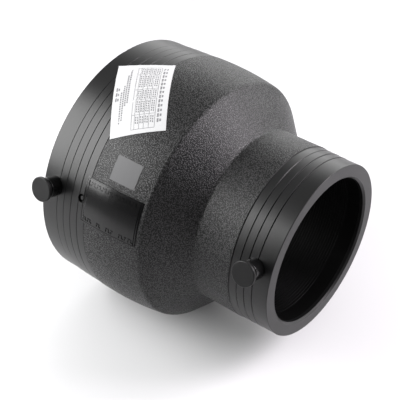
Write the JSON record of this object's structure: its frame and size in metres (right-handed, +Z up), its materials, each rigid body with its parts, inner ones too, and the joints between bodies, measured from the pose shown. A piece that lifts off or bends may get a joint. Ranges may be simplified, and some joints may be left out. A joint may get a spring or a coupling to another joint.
{
  "type": "electrofusion reducing coupling",
  "caption": "Black plastic pipe coupling with a large and a small socket, a short cone between, buried heating wire and capped terminals.",
  "frame": {"origin": "on the run axis, in the plane where the large pipe's end stops", "axes": "+X along the run axis towards the small socket, +Z up as the part lies, terminals on the -Y side 19 degrees above the horizontal"},
  "size_m": [0.1786, 0.2045, 0.1948],
  "materials": {
    "shell_pe": "fine grain, semi-matte",
    "sleeve_pe": "smooth",
    "post_pe": "smooth",
    "cap_pe": "smooth",
    "indicator_pe": "smooth",
    "wire": "drawn",
    "ferrule": "drawn",
    "contact": "tinned",
    "label_paper": "matt paper film"
  },
  "bodies": {
    "shell": {"body": "shell_pe", "large_winding_sleeve": "sleeve_pe", "small_winding_sleeve": "sleeve_pe", "large_heating_coil": "wire", "small_heating_coil": "wire", "link_wire": "wire", "large_link_ferrule": "ferrule", "small_link_ferrule": "ferrule", "large_lead_wire": "wire", "small_lead_wire": "wire", "large_crimp_ferrule": "ferrule", "small_crimp_ferrule": "ferrule", "large_terminal_pin": "contact", "small_terminal_pin": "contact", "large_terminal_post": "post_pe", "small_terminal_post": "post_pe", "rating_label": "label_paper"},
    "large_cap": {"large_terminal_cap": "cap_pe"},
    "small_cap": {"small_terminal_cap": "cap_pe"},
    "large_indicator": {"large_fusion_indicator": "indicator_pe"},
    "small_indicator": {"small_fusion_indicator": "indicator_pe"}
  },
  "joints": [
    {"name": "large_cap_pull", "type": "slide", "parent": "shell", "child": "large_cap", "axis": [0, -0.9455, 0.3256], "range_m": [0, 0.04]},
    {"name": "small_cap_pull", "type": "slide", "parent": "shell", "child": "small_cap", "axis": [0, -0.9455, 0.3256], "range_m": [0, 0.04]},
    {"name": "large_indicator_rise", "type": "slide", "parent": "shell", "child": "large_indicator", "axis": [0, -0.9397, 0.342], "range_m": [0, 0.003]},
    {"name": "small_indicator_rise", "type": "slide", "parent": "shell", "child": "small_indicator", "axis": [0, -0.9613, 0.2756], "range_m": [0, 0.003]}
  ]
}
